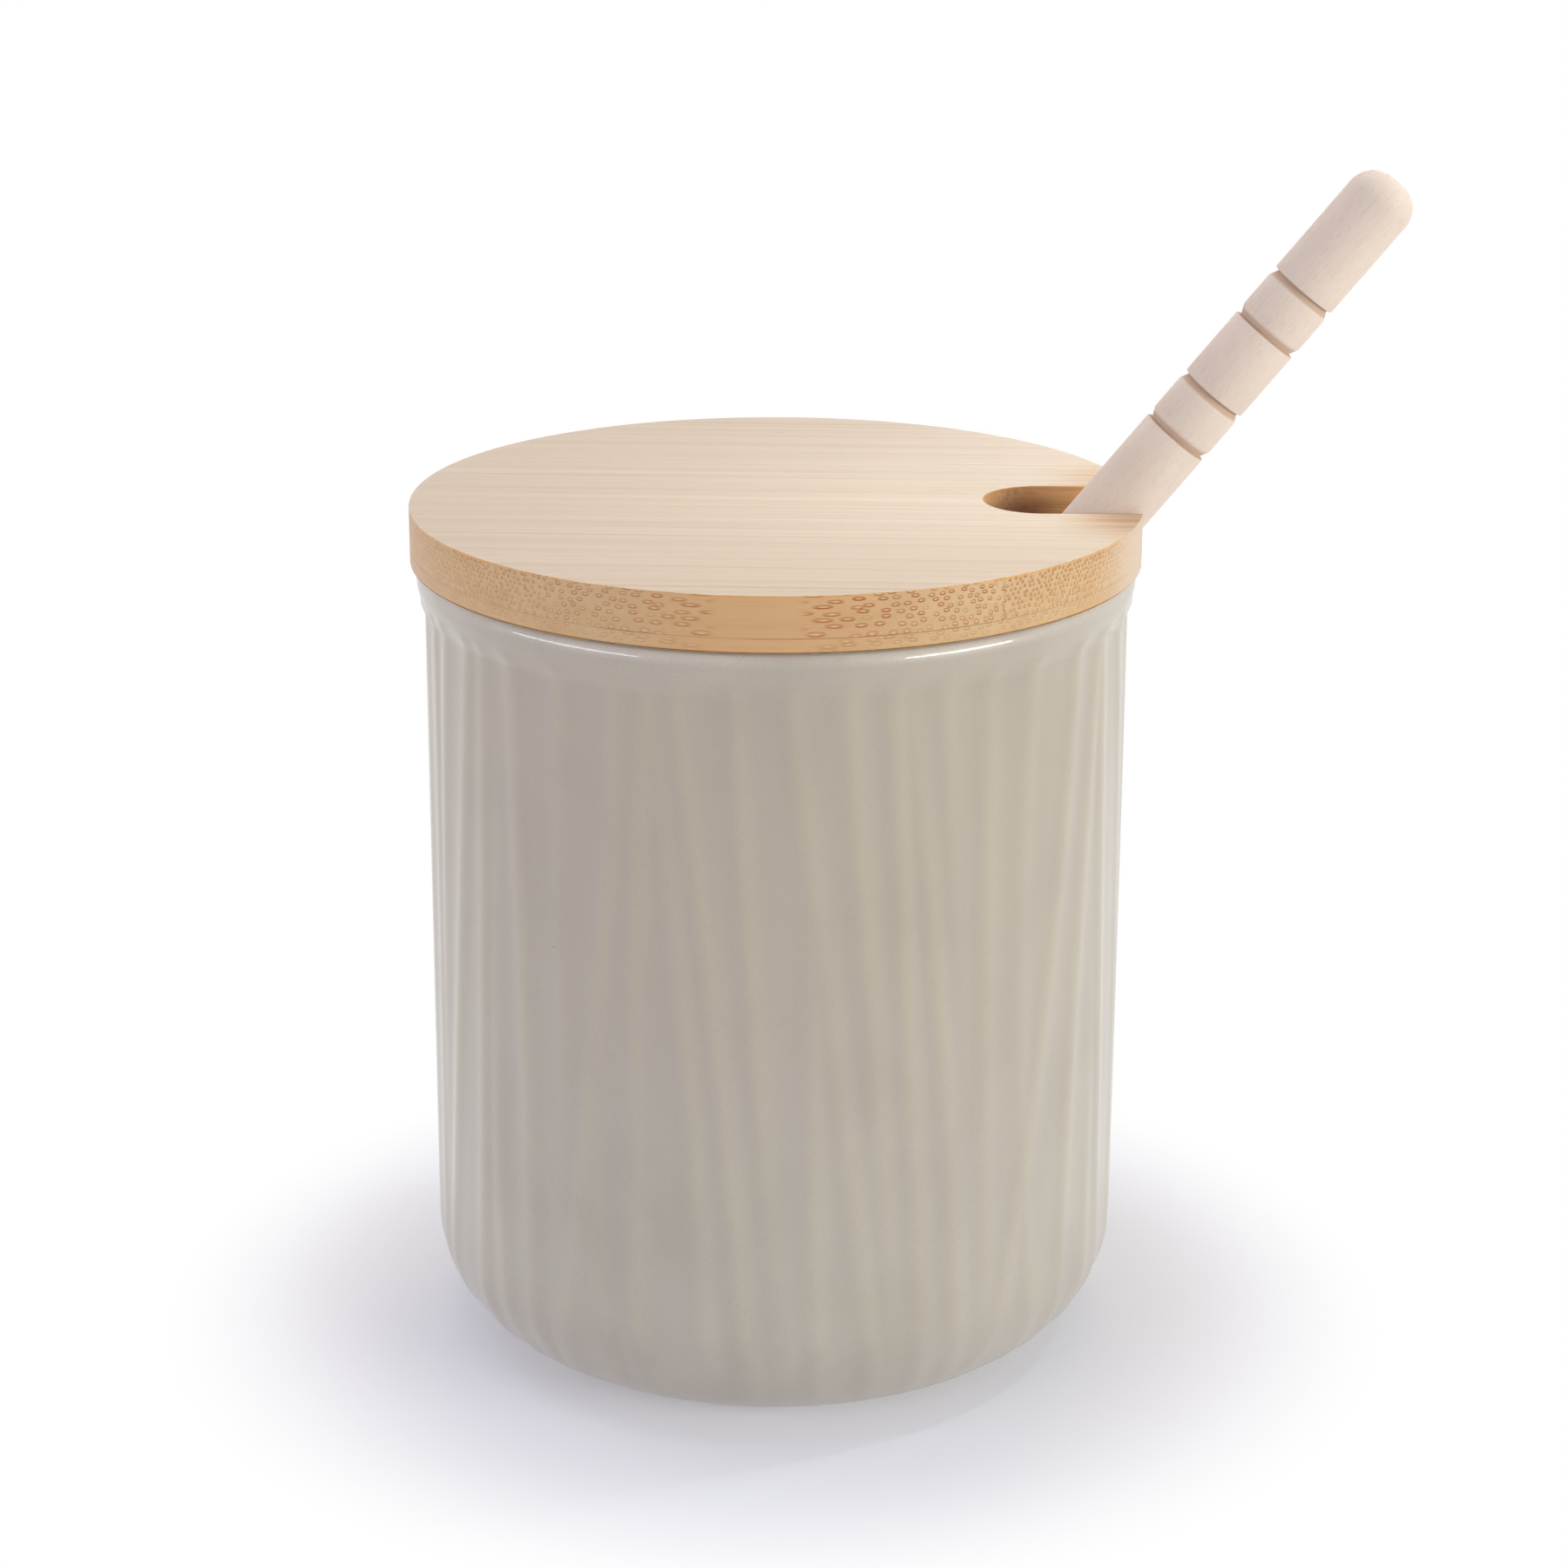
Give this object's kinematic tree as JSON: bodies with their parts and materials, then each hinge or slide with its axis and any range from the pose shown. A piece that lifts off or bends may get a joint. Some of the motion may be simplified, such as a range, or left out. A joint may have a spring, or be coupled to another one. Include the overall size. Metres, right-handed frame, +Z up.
{
  "type": "honey pot",
  "caption": "Ridged stoneware honey pot with a rolled rim, a slotted lift-off bamboo lid with a plug, and a turned wooden dipper leaning out through the slot.",
  "frame": {"origin": "centre of the pot's flat base, on the pot's axis", "axes": "+Z up the pot's axis, +X towards the side where the lid's slot is open and the dipper leans out, -Y the front"},
  "size_m": [0.1181, 0.088, 0.1452],
  "materials": {
    "stoneware_glaze": "satin warm grey glaze, paler on the ridges",
    "bamboo_face": "bare sanded bamboo, straight fine grain",
    "bamboo_back": "bare sanded bamboo, a little darker",
    "dipper_wood": "bare sanded pale wood"
  },
  "bodies": {
    "pot": {"pot": "stoneware_glaze"},
    "lid": {"lid_face_strip_1": "bamboo_face", "lid_face_strip_2": "bamboo_face", "lid_face_strip_3": "bamboo_face", "lid_face_strip_4": "bamboo_face", "lid_face_strip_5": "bamboo_face", "lid_back_strip_1": "bamboo_back", "lid_back_strip_2": "bamboo_back", "lid_back_strip_3": "bamboo_back", "lid_back_strip_4": "bamboo_back"},
    "dipper": {"dipper": "dipper_wood"}
  },
  "joints": [
    {"name": "lid_lift", "type": "slide", "parent": "pot", "child": "lid", "axis": [0, 0, 1], "range_m": [0, 0.06]},
    {"name": "dipper_lift", "type": "slide", "parent": "pot", "child": "dipper", "axis": [0.6311, 0, 0.7757], "range_m": [0, 0.07]}
  ]
}
